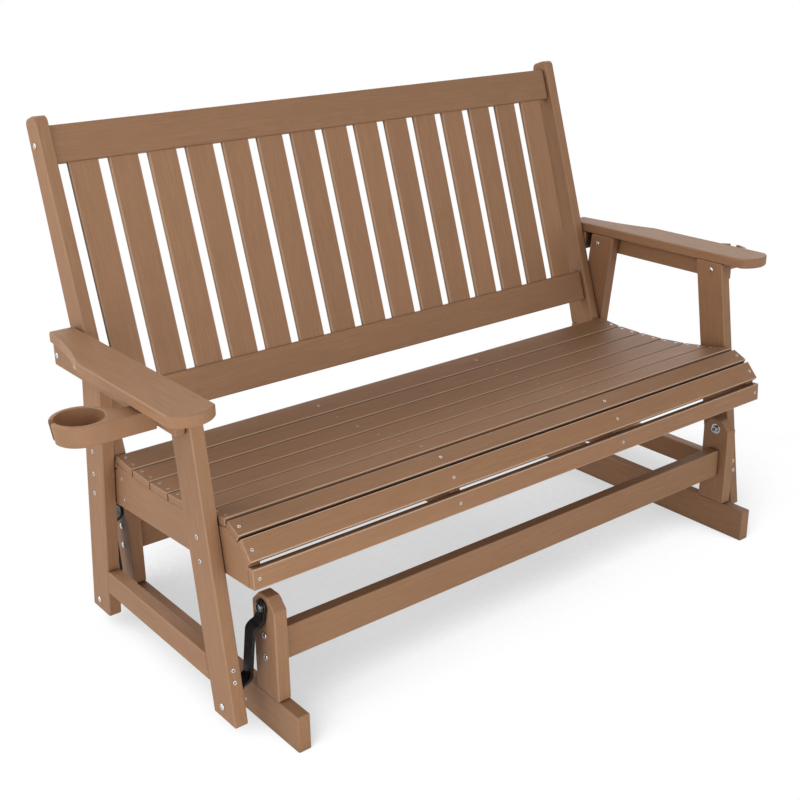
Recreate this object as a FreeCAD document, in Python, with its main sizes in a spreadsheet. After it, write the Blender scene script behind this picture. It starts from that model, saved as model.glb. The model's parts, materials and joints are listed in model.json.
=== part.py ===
import FreeCAD, Part
import math
import os
import re
import Sketcher

# Two-seat glider bench of plastic boards. Millimetres, +Z up, +X to the right of someone who looks
# at the front, -Y towards the front. The origin lies on the floor under the middle of the bench.
# The base stands still. The seat hangs from its four posts by four joggled steel links.

BACK_SLATS = 15
WIDE_SEAT_SLATS = 6
SEAT_SLATS = 9
SIDES = {"left": -1, "right": 1}
ENDS = ("front", "rear")

# Sizes that can be set by themselves: millimetres, and degrees for slopes.
SIZES = {
    # Boards
    "board": 25,
    "ease": 2,
    # From the middle of the bench to the outer faces of the seat's side rails
    "half_width": 625,
    # Between a post's outer face and the leg beside it
    "link_space": 43.5,
    # Base
    "base_y": -19.95,
    "skid_length": 672,
    "skid_height": 67.5,
    "post_spacing": 500,
    "post_width": 65,
    "post_length": 187,
    "post_corner": 20,
    "stretcher_height": 60,
    "stretcher_lift": 60.9,
    "stretcher_offset": 1,
    # Pivots and links
    "pivot_drop": 20.5,
    "link_length": 179,
    "link_width": 25,
    "link_thickness": 5,
    "eye_radius": 14,
    "link_gap": 0.5,
    "front_link_reach": 31,
    "rear_link_reach": 21,
    "joggle_setback": 28,
    "joggle_run": 24,
    "shank_radius": 4,
    "pivot_fit": 0.05,
    "open_fit": 1.6,
    "upper_head_radius": 8.5,
    "upper_head_height": 4.5,
    "lower_head_radius": 6,
    "lower_head_height": 3,
    "nut_width": 13,
    "nut_height": 7,
    # Legs, measured square to their length, and the rail low between them
    "leg_width": 66,
    "leg_height": 531.7,
    "leg_foot_margin": 23.8,
    "leg_front_lean": 8.47,
    "leg_rear_lean": 7.19,
    "front_pivot_setback": 1,
    "rear_pivot_setback": 5,
    "lower_rail_rise": 54.2,
    "lower_rail_height": 47,
    # Side rails and ribs under the seat
    "rail_rise": 313.2,
    "rail_setback": 79.1,
    "rail_rear_depth": 77.5,
    "rail_slope": 3.05,
    "rib_offset": 206,
    "cross_rail_height": 65,
    "cross_rail_setback": 4,
    "cross_rail_drop": 2,
    # Seat slats, with the slope of each from rear to front. The gaps at the nose, where the slats
    # turn down, are those between the undersides.
    "slat_thickness": 14,
    "slat_ease": 1.2,
    "wide_slat": 59,
    "nose_slat_7": 34.5,
    "nose_slat_8": 37.5,
    "nose_slat_9": 35.5,
    "wide_gap": 4.2,
    "low_gap_7": 0.4,
    "low_gap_8": 2.4,
    "low_gap_9": 2.8,
    "slat_inset": 1,
    "slat_lift": 10.8,
    "slat_stile_gap": 0.5,
    "tilt_1": -6,
    "tilt_2": -0.3,
    "tilt_3": 1.8,
    "tilt_4": 4.8,
    "tilt_5": 8.9,
    "tilt_6": 9.8,
    "tilt_7": -24,
    "tilt_8": -48,
    "tilt_9": -87,
    # Back
    "recline": 17.475,
    "stile_foot_width": 72,
    "stile_top_width": 42,
    "stile_length": 627.5,
    "stile_corner": 12,
    "back_rail_thickness": 20,
    "back_rail_setback": 9.5,
    "back_rail_height": 66.5,
    "bottom_rail_rise": 74,
    "top_rail_rise": 543,
    "back_slat_width": 58.5,
    "back_slat_thickness": 10,
    "back_end_gap": 23.8,
    "mortise_depth": 12,
    "mortise_fit": 0.2,
    # Arms, arm rails and the blocks behind them
    "arm_thickness": 20,
    "arm_gap": 1.5,
    "arm_width": 82,
    "arm_rear_width": 46.8,
    "arm_length": 489,
    "arm_taper": 188,
    "arm_front_radius": 50,
    "arm_waist_radius": 763,
    "arm_rail_thickness": 20,
    "arm_rail_height": 41.2,
    "arm_rail_setback": 6.6,
    "arm_rail_inset": 4,
    "spacer_length": 48,
    "spacer_gap": 14,
    # Cup holders
    "cup_reach": 105.5,
    "cup_setback": 105,
    "cup_drop": 9.5,
    "cup_height": 36.3,
    "cup_rim_radius": 46.8,
    "cup_base_radius": 41.6,
    "cup_well_radius": 38.5,
    "cup_floor": 3,
    "cup_slit": 18,
    "slit_offset": 9,
    "slit_reach": 10,
    "tongue_front": 39.4,
    "tongue_rear": 4,
    "flare_start": 28,
    "flare_radius": 120,
}

# Places and widths worked out from the sizes above.
PLACES = {
    "post_outer_x": "half_width - link_space",
    "post_inner_x": "post_outer_x - board",
    "base_x": "post_outer_x - board / 2",
    "rail_inner_x": "half_width - board",
    "rail_x": "half_width - board / 2",
    "leg_x": "half_width + board / 2",
    "leg_outer_x": "half_width + board",
    "upper_eye_x": "post_outer_x + link_gap + link_thickness / 2",
    "lower_eye_x": "half_width - link_gap - link_thickness / 2",
    "link_middle_x": "(upper_eye_x + lower_eye_x) / 2",
    "joggle_offset": "(lower_eye_x - upper_eye_x) / 2",
    "joggle_radius": "(joggle_offset ^ 2 + joggle_run ^ 2) / (4 * joggle_offset)",
    "post_top_z": "skid_height + post_length",
    "pivot_z": "post_top_z - pivot_drop",
    "front_pivot_y": "base_y - post_spacing / 2",
    "rear_pivot_y": "base_y + post_spacing / 2",
    "front_hang_y": "front_pivot_y + front_link_reach",
    "front_hang_z": "pivot_z - sqrt(link_length ^ 2 - front_link_reach ^ 2)",
    "rear_hang_y": "rear_pivot_y - rear_link_reach",
    "rear_hang_z": "pivot_z - sqrt(link_length ^ 2 - rear_link_reach ^ 2)",
    "foot_z": "front_hang_z - leg_foot_margin",
    "arm_z": "foot_z + leg_height",
    "rail_z": "foot_z + rail_rise",
    "rail_y": "rear_hang_y - rail_setback",
    "rail_end_y": "rail_y + stile_foot_width",
    "rail_bottom_z": "rail_z - rail_rear_depth",
    "cross_rail_y": "rail_y - cross_rail_setback",
    "cross_rail_front_y": "cross_rail_y - board",
    "slat_1_low_z": "rail_z + slat_lift",
    "slat_1_low_y": "rail_y + slat_lift * tan(recline) - slat_stile_gap",
    "slat_1_y": "slat_1_low_y + slat_thickness * sin(tilt_1)",
    "slat_1_z": "slat_1_low_z + slat_thickness * cos(tilt_1)",
    "back_pitch": "(2 * rail_inner_x - 2 * back_end_gap - back_slat_width) / %d" % (BACK_SLATS - 1),
    "back_middle_depth": "back_rail_setback + back_rail_thickness / 2",
    "slat_foot_rise": "bottom_rail_rise + back_rail_height - mortise_depth",
    "slat_head_rise": "top_rail_rise + mortise_depth",
    "arm_inner_x": "half_width + arm_gap",
    "arm_outer_x": "arm_inner_x + arm_width",
    "arm_rear_x": "arm_inner_x + arm_rear_width",
    "arm_rail_x": "leg_outer_x + arm_rail_thickness",
    "arm_rail_middle_x": "leg_outer_x + arm_rail_thickness / 2",
    "arm_rail_z": "arm_z - arm_rail_height",
    "leg_top_y": "front_hang_y - front_pivot_setback + (arm_z - front_hang_z) * tan(leg_front_lean)"
                 " - leg_width / 2 / cos(leg_front_lean)",
    "spacer_front_y": "rear_hang_y - rear_pivot_setback - (arm_rail_z - rear_hang_z) * tan(leg_rear_lean)"
                      " + leg_width / 2 / cos(leg_rear_lean) + spacer_gap",
    "arm_rail_front_y": "leg_top_y + arm_rail_setback",
    "arm_rail_rear_y": "spacer_front_y + spacer_length",
    "arm_rear_y": "arm_rail_rear_y + arm_rail_inset",
    "arm_front_y": "arm_rear_y - arm_length",
    "arm_waist_y": "arm_rear_y - arm_taper",
    "cup_x": "arm_rail_x + cup_reach",
    "cup_y": "leg_top_y + cup_setback",
    "cup_z": "arm_z - cup_drop - cup_height",
}

doc = FreeCAD.newDocument("glider_bench")
homes = {}
parts = []


def fill_sheet(name, cells, prefix=""):
    """Write one sheet: the alias in column A, its value or formula in column B."""
    sheet = doc.addObject("Spreadsheet::Sheet", name)
    for row, (alias, content) in enumerate(cells.items(), 1):
        sheet.set("A%d" % row, alias)
        sheet.set("B%d" % row, prefix + full(str(content), name))
        sheet.setAlias("B%d" % row, alias)
        homes[alias] = name
    doc.recompute()
    return sheet


def full(text, sheet=None):
    """Give each alias in a formula the name of its sheet."""
    def place(match):
        word = match.group(0)
        if word not in homes or homes[word] == sheet:
            return word
        return homes[word] + "." + word
    return re.sub(r"[a-z_][a-z_0-9]*", place, text)


def slat_width(slat):
    """Alias of a seat slat's width."""
    return "wide_slat" if slat <= WIDE_SEAT_SLATS else "nose_slat_%d" % slat


def seat_chain():
    """Places of the seat slats, each from the one behind it, and of the rails' corners below them.

    slat_N is the upper rear corner of slat N. knee_N is where the undersides of slats N - 1 and N
    meet, which is a corner of the rails' top. A gap runs along the mean slope of its two slats.
    """
    places = {}
    for slat in range(2, SEAT_SLATS + 1):
        width = slat_width(slat - 1)
        last = "tilt_%d" % (slat - 1)
        here = "tilt_%d" % slat
        mean = "((%s + %s) / 2)" % (last, here)
        half = "((%s - %s) / 2)" % (here, last)
        gap = "wide_gap"
        if slat > WIDE_SEAT_SLATS:
            gap = "(low_gap_%d - 2 * slat_thickness * sin(%s))" % (slat, half)
        places["slat_%d_y" % slat] = (
            "slat_%d_y - %s * cos(%s) - %s * cos(%s)" % (slat - 1, width, last, gap, mean))
        places["slat_%d_z" % slat] = (
            "slat_%d_z + %s * sin(%s) + %s * sin(%s)" % (slat - 1, width, last, gap, mean))
        places["knee_%d_y" % slat] = (
            "slat_%d_y + (%s / 2 * cos(%s) - slat_thickness * sin(%s)) / cos(%s)"
            % (slat, gap, here, mean, half))
        places["knee_%d_z" % slat] = (
            "slat_%d_z - (%s / 2 * sin(%s) + slat_thickness * cos(%s)) / cos(%s)"
            % (slat, gap, here, mean, half))
    # The last slat's back face meets the rails' bottom edge.
    tilt = "tilt_%d" % SEAT_SLATS
    back_y = "(slat_%d_y - slat_thickness * sin(%s))" % (SEAT_SLATS, tilt)
    back_z = "(slat_%d_z - slat_thickness * cos(%s))" % (SEAT_SLATS, tilt)
    run = ("(rail_bottom_z - %s + (rail_end_y - %s) * tan(rail_slope))"
           " / (sin(%s) - cos(%s) * tan(rail_slope))" % (back_z, back_y, tilt, tilt))
    places["nose_y"] = "%s - %s * cos(%s)" % (back_y, run, tilt)
    places["nose_z"] = "%s + %s * sin(%s)" % (back_z, run, tilt)
    return places


fill_sheet("Sizes", SIZES)
PLACES.update(seat_chain())
homes.update({alias: "Places" for alias in PLACES})
places_sheet = fill_sheet("Places", PLACES, "=")


def value(text):
    """The number that a formula gives."""
    result = places_sheet.evalExpression(full(text, "Places"))
    return float(getattr(result, "Value", result))


def new_body(name):
    body = doc.addObject("PartDesign::Body", name)
    body.Label = name
    return body


def sub_part(body):
    """Count a finished object as a sub-part, which is exported under its label."""
    parts.append(body)
    return body


def origin_plane(body, role):
    return [feature for feature in body.Origin.OriginFeatures if feature.Role == role][0]


def bend(start, end, radius):
    """Arc between two points. A positive radius bulges to the right of the way from start to end."""
    chord = end - start
    half = chord.Length / 2
    side = math.copysign(1, radius)
    rise = abs(radius) - math.sqrt(radius ** 2 - half ** 2)
    right = FreeCAD.Vector(chord.y, -chord.x, 0).normalize()
    return Part.Arc(start, (start + end) * 0.5 + right * (rise * side), end)


def sketch_on(body, name, role, lift=None):
    sketch = body.newObject("Sketcher::SketchObject", name)
    sketch.AttachmentSupport = [(origin_plane(body, role), "")]
    sketch.MapMode = "FlatFace"
    if lift:
        sketch.setExpression("AttachmentOffset.Base.z", full(lift))
    return sketch


def tie(sketch, kind, formula, *where):
    """Add one dimension to a sketch and bind it to its formula."""
    number = sketch.addConstraint(Sketcher.Constraint(kind, *where, value(formula)))
    sketch.setExpression("Constraints[%d]" % number, full(formula))


def outline(body, name, role, corners, bends=None, lift=None, closed=True):
    """Sketch through corners given as pairs of formulas.

    bends gives the radius of each side that is an arc, by the number of the corner it starts from.
    """
    bends = bends or {}
    sketch = sketch_on(body, name, role, lift)
    points = [FreeCAD.Vector(value(u), value(v), 0) for u, v in corners]
    sides = len(points) if closed else len(points) - 1
    ends = []
    for number in range(sides):
        start = points[number]
        end = points[(number + 1) % len(points)]
        if number in bends:
            curve = bend(start, end, value(bends[number]))
        else:
            curve = Part.LineSegment(start, end)
        piece = sketch.addGeometry(curve)
        first = 1 if sketch.getPoint(piece, 1).distanceToPoint(start) < 1e-6 else 2
        ends.append((piece, first, 3 - first))
        if number in bends:
            size = bends[number] if value(bends[number]) > 0 else "-(%s)" % bends[number]
            tie(sketch, "Radius", size, piece)
    for number, (piece, first, last) in enumerate(ends):
        if closed or number + 1 < sides:
            after = ends[(number + 1) % sides]
            sketch.addConstraint(Sketcher.Constraint("Coincident", piece, last, after[0], after[1]))
        tie(sketch, "DistanceX", corners[number][0], -1, 1, piece, first)
        tie(sketch, "DistanceY", corners[number][1], -1, 1, piece, first)
    if not closed:
        piece, first, last = ends[-1]
        tie(sketch, "DistanceX", corners[-1][0], -1, 1, piece, last)
        tie(sketch, "DistanceY", corners[-1][1], -1, 1, piece, last)
    return sketch


def rectangle(left, right, low, high):
    return [(left, low), (right, low), (right, high), (left, high)]


def extrude(body, sketch, length, midplane=True, name="Solid"):
    pad = body.newObject("PartDesign::Pad", name)
    pad.Profile = sketch
    pad.Midplane = midplane
    pad.setExpression("Length", full(length))
    body.Tip = pad
    doc.recompute()
    return pad


def cut_through(body, sketch, name):
    """Cut a sketch right through the body, both ways from its plane."""
    before = body.Shape.Volume
    pocket = body.newObject("PartDesign::Pocket", name)
    pocket.Profile = sketch
    pocket.Type = "ThroughAll"
    pocket.Midplane = True
    body.Tip = pocket
    doc.recompute()
    if not body.Shape.Volume < before:
        raise RuntimeError("%s removes nothing from %s" % (name, body.Label))
    return pocket


def bore(body, name, role, u, v, radius):
    """Round hole through the body, square to an origin plane."""
    sketch = sketch_on(body, name + "Circle", role)
    centre = FreeCAD.Vector(value(u), value(v), 0)
    circle = sketch.addGeometry(Part.Circle(centre, FreeCAD.Vector(0, 0, 1), value(radius)))
    tie(sketch, "Radius", radius, circle)
    tie(sketch, "DistanceX", u, -1, 1, circle, 3)
    tie(sketch, "DistanceY", v, -1, 1, circle, 3)
    return cut_through(body, sketch, name)


def sharp_edges(shape, turn=20):
    """Names of the edges where two faces meet at more than a few degrees."""
    names = []
    for number, edge in enumerate(shape.Edges, 1):
        faces = shape.ancestorsOfType(edge, Part.Face)
        middle = edge.valueAt((edge.FirstParameter + edge.LastParameter) / 2)
        normals = [face.normalAt(*face.Surface.parameter(middle)) for face in faces]
        if len(normals) == 2 and math.degrees(normals[0].getAngle(normals[1])) > turn:
            names.append("Edge%d" % number)
    return names


def ease_edges(body, size="ease"):
    """Chamfer every sharp edge of the body as it stands."""
    base = body.Tip
    chamfer = body.newObject("PartDesign::Chamfer", "Eased")
    chamfer.Base = (base, sharp_edges(base.Shape))
    chamfer.setExpression("Size", full(size))
    body.Tip = chamfer
    doc.recompute()
    return chamfer


def cross_board(name, corners, middle_x, thickness="board", ease="ease"):
    """Board whose outline lies in the YZ plane and whose thickness or length runs along X."""
    body = new_body(name)
    sketch = outline(body, "Outline", "YZ_Plane", corners)
    extrude(body, sketch, thickness)
    ease_edges(body, ease)
    body.setExpression("Placement.Base.x", full(middle_x))
    return body


def sided(side, formula):
    return "%d * (%s)" % (SIDES[side], formula)


def leg_line(end, edge, height):
    """Y of a leg at a height: edge is -1 for its front line, 0 for its middle and 1 for its rear."""
    lean = {"front": "leg_front_lean", "rear": "-leg_rear_lean"}[end]
    return ("%s_hang_y - %s_pivot_setback + (%s - %s_hang_z) * tan(%s) + %d * leg_width / 2 / cos(%s)"
            % (end, end, height, end, lean, edge, lean))


def base_pieces():
    """Skids, posts and stretchers, which stand still."""
    for side in SIDES:
        sub_part(cross_board("skid_" + side, rectangle(
            "base_y - skid_length / 2", "base_y + skid_length / 2", "0", "skid_height"),
            sided(side, "base_x")))
        for end in ENDS:
            middle = end + "_pivot_y"
            front = middle + " - post_width / 2"
            rear = middle + " + post_width / 2"
            post = cross_board("post_%s_%s" % (end, side), [
                (front, "skid_height"),
                (rear, "skid_height"),
                (rear, "post_top_z - post_corner"),
                (rear + " - post_corner", "post_top_z"),
                (front + " + post_corner", "post_top_z"),
                (front, "post_top_z - post_corner"),
            ], sided(side, "base_x"))
            bore(post, "PivotHole", "YZ_Plane", middle, "pivot_z", "shank_radius + pivot_fit")
            sub_part(post)
    low = "skid_height + stretcher_lift"
    middles = {"front": "front_pivot_y - stretcher_offset", "rear": "rear_pivot_y + stretcher_offset"}
    for end, middle in middles.items():
        sub_part(cross_board("stretcher_" + end, rectangle(
            middle + " - board / 2", middle + " + board / 2",
            low, low + " + stretcher_height"), "0", "2 * post_inner_x"))


def link(side, end):
    """Flat steel bar with two joggles and a round eye at each end, hung from its upper eye."""
    body = new_body("link_%s_%s" % (end, side))
    upper = sided(side, "upper_eye_x")
    middle = sided(side, "link_middle_x")
    lower = sided(side, "lower_eye_x")
    halves = [sided(side, "(%s + link_middle_x) / 2" % eye) for eye in ("upper_eye_x", "lower_eye_x")]
    start = "joggle_setback"
    path = outline(body, "Path", "XZ_Plane", [
        (upper, "0"),
        (upper, "-%s" % start),
        (halves[0], "-%s - joggle_run / 2" % start),
        (middle, "-%s - joggle_run" % start),
        (middle, "%s + joggle_run - link_length" % start),
        (halves[1], "%s + joggle_run / 2 - link_length" % start),
        (lower, "%s - link_length" % start),
        (lower, "-link_length"),
    ], bends={
        1: sided(side, "joggle_radius"), 2: sided(side, "-joggle_radius"),
        4: sided(side, "joggle_radius"), 5: sided(side, "-joggle_radius"),
    }, closed=False)
    section = outline(body, "Section", "XY_Plane", rectangle(
        upper + " - link_thickness / 2", upper + " + link_thickness / 2",
        "-link_width / 2", "link_width / 2"))
    bar = body.newObject("PartDesign::AdditivePipe", "Bar")
    bar.Profile = section
    bar.Spine = path
    body.Tip = bar
    doc.recompute()
    eyes = {"Upper": (upper, "0"), "Lower": (lower, "-link_length")}
    for name, (eye_x, eye_z) in eyes.items():
        sketch = sketch_on(body, name + "EyeOutline", "YZ_Plane", eye_x)
        centre = FreeCAD.Vector(0, value(eye_z), 0)
        circle = sketch.addGeometry(Part.Circle(centre, FreeCAD.Vector(0, 0, 1), value("eye_radius")))
        tie(sketch, "Radius", "eye_radius", circle)
        tie(sketch, "DistanceX", "0", -1, 1, circle, 3)
        tie(sketch, "DistanceY", eye_z, -1, 1, circle, 3)
        extrude(body, sketch, "link_thickness", name=name + "Eye")
    # The closed loops of the four links are opened at three of the lower pivots, which have play.
    play = "pivot_fit" if (side, end) == ("left", "front") else "open_fit"
    holes = {"Upper": ("0", "pivot_fit"), "Lower": ("-link_length", play)}
    for name, (height, fit) in holes.items():
        bore(body, name + "Hole", "YZ_Plane", "0", height, "shank_radius + " + fit)
    lean = {"front": "asin(front_link_reach / link_length)", "rear": "-asin(rear_link_reach / link_length)"}
    body.Placement.Rotation = FreeCAD.Rotation(FreeCAD.Vector(1, 0, 0), 1)
    body.setExpression("Placement.Rotation.Angle", full(lean[end]))
    body.setExpression("Placement.Base.y", full(end + "_pivot_y"))
    body.setExpression("Placement.Base.z", full("pivot_z"))
    return sub_part(body)


def pivot_bolt(name, side, nut_x, head_x, head, y, height):
    """Bolt along X: round head outboard of head_x, nut inboard of nut_x."""
    body = new_body(name)
    head_out = "%s + %s_height" % (head_x, head)
    nut_in = nut_x + " - nut_height"
    sketch = outline(body, "Profile", "XY_Plane", [
        (nut_in, "0"),
        (head_out, "0"),
        (head_out, head + "_radius"),
        (head_x, head + "_radius"),
        (head_x, "shank_radius"),
        (nut_in, "shank_radius"),
    ])
    turned = body.newObject("PartDesign::Revolution", "Turned")
    turned.Profile = sketch
    turned.ReferenceAxis = (sketch, ["H_Axis"])
    turned.Angle = 360
    body.Tip = turned
    doc.recompute()
    corner = "nut_width / sqrt(3)"
    hexagon = outline(body, "NutOutline", "YZ_Plane", [
        (corner, "0"),
        (corner + " / 2", "nut_width / 2"),
        ("-(%s) / 2" % corner, "nut_width / 2"),
        ("-(%s)" % corner, "0"),
        ("-(%s) / 2" % corner, "-nut_width / 2"),
        (corner + " / 2", "-nut_width / 2"),
    ], lift=nut_in)
    extrude(body, hexagon, "nut_height", midplane=False, name="Nut")
    if SIDES[side] < 0:
        body.Placement.Rotation = FreeCAD.Rotation(FreeCAD.Vector(0, 0, 1), 180)
    body.setExpression("Placement.Base.y", full(y))
    body.setExpression("Placement.Base.z", full(height))
    return body


def pivot_bolts():
    """Four bolts through the posts' tops and four through the legs' feet, each four one sub-part."""
    upper = []
    lower = []
    for side in SIDES:
        for end in ENDS:
            upper.append(pivot_bolt(
                "upper_bolt_%s_%s" % (end, side), side, "post_inner_x",
                "post_outer_x + 2 * link_gap + link_thickness", "upper_head",
                end + "_pivot_y", "pivot_z"))
            lower.append(pivot_bolt(
                "lower_bolt_%s_%s" % (end, side), side, "half_width - 2 * link_gap - link_thickness",
                "leg_outer_x", "lower_head", end + "_hang_y", end + "_hang_z"))
    for name, bolts in (("pivot_bolts_upper", upper), ("pivot_bolts_lower", lower)):
        group = doc.addObject("Part::Compound", name)
        group.Label = name
        group.Links = bolts
        doc.recompute()
        sub_part(group)


def legs():
    """Legs, leaning towards each other at the top, and the low rail between each two."""
    for side in SIDES:
        for end in ENDS:
            leg = cross_board("leg_%s_%s" % (end, side), [
                (leg_line(end, -1, "foot_z"), "foot_z"),
                (leg_line(end, 1, "foot_z"), "foot_z"),
                (leg_line(end, 1, "arm_z"), "arm_z"),
                (leg_line(end, -1, "arm_z"), "arm_z"),
            ], sided(side, "leg_x"))
            bore(leg, "PivotHole", "YZ_Plane", end + "_hang_y", end + "_hang_z",
                 "shank_radius + pivot_fit")
            sub_part(leg)
        low = "foot_z + lower_rail_rise"
        high = low + " + lower_rail_height"
        sub_part(cross_board("lower_rail_" + side, [
            (leg_line("front", 1, "(%s)" % low), low),
            (leg_line("rear", -1, "(%s)" % low), low),
            (leg_line("rear", -1, "(%s)" % high), high),
            (leg_line("front", 1, "(%s)" % high), high),
        ], sided(side, "leg_x")))


def under_slat_1(y):
    """Height of the first slat's underside at a place in front of its rear edge."""
    return "slat_1_low_z + (slat_1_low_y - %s) * tan(tilt_1)" % y


def rail_bottom(y):
    return "rail_bottom_z + (rail_end_y - %s) * tan(rail_slope)" % y


def seat_frame():
    """Side rails and ribs, with one facet under each slat, and the cross rail behind the ribs."""
    knees = [("knee_%d_y" % slat, "knee_%d_z" % slat) for slat in range(2, SEAT_SLATS + 1)]
    nose = [("nose_y", "nose_z")]
    for side in SIDES:
        sub_part(cross_board("side_rail_" + side, [
            ("rail_y", under_slat_1("rail_y"))] + knees + nose + [
            ("rail_end_y", "rail_bottom_z"),
            ("rail_end_y", "rail_z"),
            ("rail_y", "rail_z"),
        ], sided(side, "rail_x")))
        sub_part(cross_board("seat_rib_" + side, [
            ("cross_rail_front_y", under_slat_1("cross_rail_front_y"))] + knees + nose + [
            ("cross_rail_front_y", rail_bottom("cross_rail_front_y")),
        ], sided(side, "rib_offset")))
    top = "rail_z - cross_rail_drop"
    sub_part(cross_board("seat_cross_rail", rectangle(
        "cross_rail_front_y", "cross_rail_y", top + " - cross_rail_height", top),
        "0", "2 * rail_inner_x"))


def seat_slats():
    """Slats across the seat, each turned to its own slope about its upper rear corner."""
    for number in range(1, SEAT_SLATS + 1):
        slat = cross_board("seat_slat_%d" % number, rectangle(
            "-" + slat_width(number), "0", "-slat_thickness", "0"),
            "0", "2 * (half_width - slat_inset)", "slat_ease")
        slat.Placement.Rotation = FreeCAD.Rotation(FreeCAD.Vector(1, 0, 0), 1)
        slat.setExpression("Placement.Rotation.Angle", full("-tilt_%d" % number))
        slat.setExpression("Placement.Base.y", full("slat_%d_y" % number))
        slat.setExpression("Placement.Base.z", full("slat_%d_z" % number))
        sub_part(slat)


def lean_back(body):
    """Stand a body made upright at the stiles' front lower corner and lean it with the stiles."""
    body.Placement.Rotation = FreeCAD.Rotation(FreeCAD.Vector(1, 0, 0), -1)
    body.setExpression("Placement.Rotation.Angle", full("-recline"))
    body.setExpression("Placement.Base.y", full("rail_y"))
    body.setExpression("Placement.Base.z", full("rail_z"))
    return sub_part(body)


def stile(side):
    """Tapered upright of the back, cut level where it stands on the side rail."""
    body = new_body("stile_" + side)
    top_y = "rail_y + stile_length * sin(recline)"
    top_z = "rail_z + stile_length * cos(recline)"
    sketch = outline(body, "Outline", "YZ_Plane", [
        ("rail_y", "rail_z"),
        ("rail_end_y", "rail_z"),
        (top_y + " + stile_top_width * cos(recline)", top_z + " - stile_top_width * sin(recline)"),
        (top_y, top_z),
    ])
    pad = extrude(body, sketch, "board")
    across = [number for number, edge in enumerate(pad.Shape.Edges, 1)
              if abs(edge.tangentAt(edge.FirstParameter).x) > 0.99
              and edge.CenterOfMass.z > value("arm_z")]
    rounded = body.newObject("PartDesign::Fillet", "RoundedHead")
    rounded.Base = (pad, ["Edge%d" % number for number in across])
    rounded.setExpression("Radius", full("stile_corner"))
    body.Tip = rounded
    doc.recompute()
    ease_edges(body)
    body.setExpression("Placement.Base.x", full(sided(side, "rail_x")))
    return sub_part(body)


def back_rail(name, rise, mouth, depth_sign):
    """Cross rail of the back with a row of blind mortises for the slats in one long edge."""
    body = cross_board(name, rectangle(
        "back_rail_setback", "back_rail_setback + back_rail_thickness",
        rise, rise + " + back_rail_height"), "0", "2 * rail_inner_x")
    first = "-back_pitch * %d / 2" % (BACK_SLATS - 1)
    wide = "(back_slat_width / 2 + mortise_fit)"
    deep = "(back_slat_thickness / 2 + mortise_fit)"
    sketch = outline(body, "MortiseOutline", "XY_Plane", rectangle(
        first + " - " + wide, first + " + " + wide,
        "back_middle_depth - " + deep, "back_middle_depth + " + deep), lift=mouth)
    before = body.Shape.Volume
    mortise = body.newObject("PartDesign::Pocket", "Mortise")
    mortise.Profile = sketch
    mortise.Reversed = depth_sign > 0
    mortise.setExpression("Length", full("mortise_depth + mortise_fit"))
    body.Tip = mortise
    doc.recompute()
    removed = before - body.Shape.Volume
    row = body.newObject("PartDesign::LinearPattern", "Mortises")
    row.Originals = [mortise]
    row.Direction = (origin_plane(body, "X_Axis"), [""])
    row.setExpression("Length", full("back_pitch * %d" % (BACK_SLATS - 1)))
    row.Occurrences = BACK_SLATS
    body.Tip = row
    doc.recompute()
    if abs(before - body.Shape.Volume - BACK_SLATS * removed) > 1 or removed < 1:
        raise RuntimeError("mortises of %s are incomplete" % name)
    lean_back(body)


def back():
    """Stiles, the two cross rails and the slats between them."""
    for side in SIDES:
        stile(side)
    back_rail("back_rail_bottom", "bottom_rail_rise", "bottom_rail_rise + back_rail_height", -1)
    back_rail("back_rail_top", "top_rail_rise", "top_rail_rise", 1)
    for number in range(BACK_SLATS):
        place = number - (BACK_SLATS - 1) / 2
        slat = cross_board("back_slat_%02d" % (number + 1), rectangle(
            "back_middle_depth - back_slat_thickness / 2", "back_middle_depth + back_slat_thickness / 2",
            "slat_foot_rise", "slat_head_rise"), "%g * back_pitch" % place, "back_slat_width")
        lean_back(slat)


def arm(side):
    """Arm board: straight inside, waisted towards the rear outside, rounded in front."""
    body = new_body("arm_" + side)
    sketch = outline(body, "Outline", "XY_Plane", [
        (sided(side, "arm_inner_x"), "arm_front_y"),
        (sided(side, "arm_outer_x"), "arm_front_y"),
        (sided(side, "arm_outer_x"), "arm_waist_y"),
        (sided(side, "arm_rear_x"), "arm_rear_y"),
        (sided(side, "arm_inner_x"), "arm_rear_y"),
    ], bends={0: sided(side, "arm_front_radius"), 2: sided(side, "-arm_waist_radius")})
    extrude(body, sketch, "arm_thickness", midplane=False)
    ease_edges(body)
    body.setExpression("Placement.Base.z", full("arm_z"))
    return sub_part(body)


def arms():
    """Arms, the rails that carry them outside the legs, and the blocks between rail and stile."""
    blocks = []
    for side in SIDES:
        arm(side)
        sub_part(cross_board("arm_rail_" + side, rectangle(
            "arm_rail_front_y", "arm_rail_rear_y", "arm_rail_z", "arm_z"),
            sided(side, "arm_rail_middle_x"), "arm_rail_thickness"))
        blocks.append(cross_board("arm_spacer_" + side, rectangle(
            "arm_rail_rear_y - spacer_length", "arm_rail_rear_y", "arm_rail_z", "arm_z"),
            sided(side, "leg_x")))
    group = doc.addObject("Part::Compound", "arm_spacers")
    group.Label = "arm_spacers"
    group.Links = blocks
    sub_part(group)


def turn(body, kind, name, corners):
    """Turn a profile in the XZ plane about Z, adding or removing it."""
    sketch = outline(body, name + "Profile", "XZ_Plane", corners)
    feature = body.newObject(kind, name)
    feature.Profile = sketch
    feature.ReferenceAxis = (sketch, ["V_Axis"])
    feature.Angle = 360
    body.Tip = feature
    doc.recompute()
    return feature


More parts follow.
